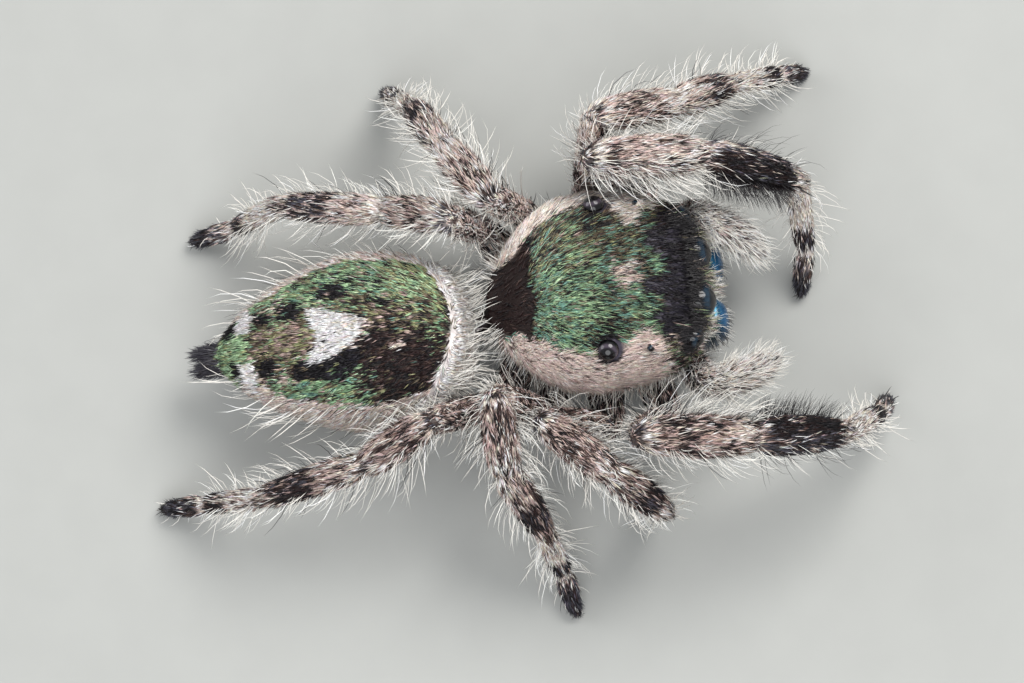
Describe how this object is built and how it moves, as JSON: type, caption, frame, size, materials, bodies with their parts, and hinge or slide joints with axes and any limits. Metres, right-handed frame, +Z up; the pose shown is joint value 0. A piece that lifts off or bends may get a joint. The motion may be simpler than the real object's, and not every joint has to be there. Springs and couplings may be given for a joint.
{
  "type": "jumping spider model (phidippus bidentatus)",
  "caption": "Life-size still model of a hairy jumping spider, standing on its feet with the forelegs held out in front.",
  "frame": {"origin": "on the floor under the middle of the whole spider's box", "axes": "+Z up, -Y the way the head looks, +X the spider's own left"},
  "size_m": [0.0118, 0.0152, 0.0042],
  "materials": {
    "carapace": "green and bronze scales over dark cuticle",
    "abdomen": "green scales with pale bands and a white spot",
    "jaw": "iridescent blue cuticle",
    "lens": "black glossy lens",
    "femur": "dark brown cuticle with pale scales",
    "shin": "pinkish scales with dark rings",
    "foot": "pale hair with a dark foot",
    "palp": "white haired",
    "spinneret": "black haired"
  },
  "bodies": {
    "root": {"abdomen": "abdomen", "cephalothorax": "carapace", "chelicera_left": "jaw", "chelicera_right": "jaw", "eye_front_middle_left": "lens", "eye_front_middle_right": "lens", "eye_front_side_left": "lens", "eye_front_side_right": "lens", "eye_rear_left": "lens", "eye_rear_right": "lens", "eye_small_left": "lens", "eye_small_right": "lens", "left_leg_1_femur": "femur", "left_leg_1_foot": "foot", "left_leg_1_shin": "shin", "left_leg_2_femur": "femur", "left_leg_2_foot": "foot", "left_leg_2_shin": "shin", "left_leg_3_femur": "femur", "left_leg_3_foot": "foot", "left_leg_3_shin": "shin", "left_leg_4_femur": "femur", "left_leg_4_foot": "foot", "left_leg_4_shin": "shin", "palp_left": "palp", "palp_right": "palp", "right_leg_1_femur": "femur", "right_leg_1_foot": "foot", "right_leg_1_shin": "shin", "right_leg_2_femur": "femur", "right_leg_2_foot": "foot", "right_leg_2_shin": "shin", "right_leg_3_femur": "femur", "right_leg_3_foot": "foot", "right_leg_3_shin": "shin", "right_leg_4_femur": "femur", "right_leg_4_foot": "foot", "right_leg_4_shin": "shin", "spinnerets": "spinneret"}
  },
  "joints": []
}
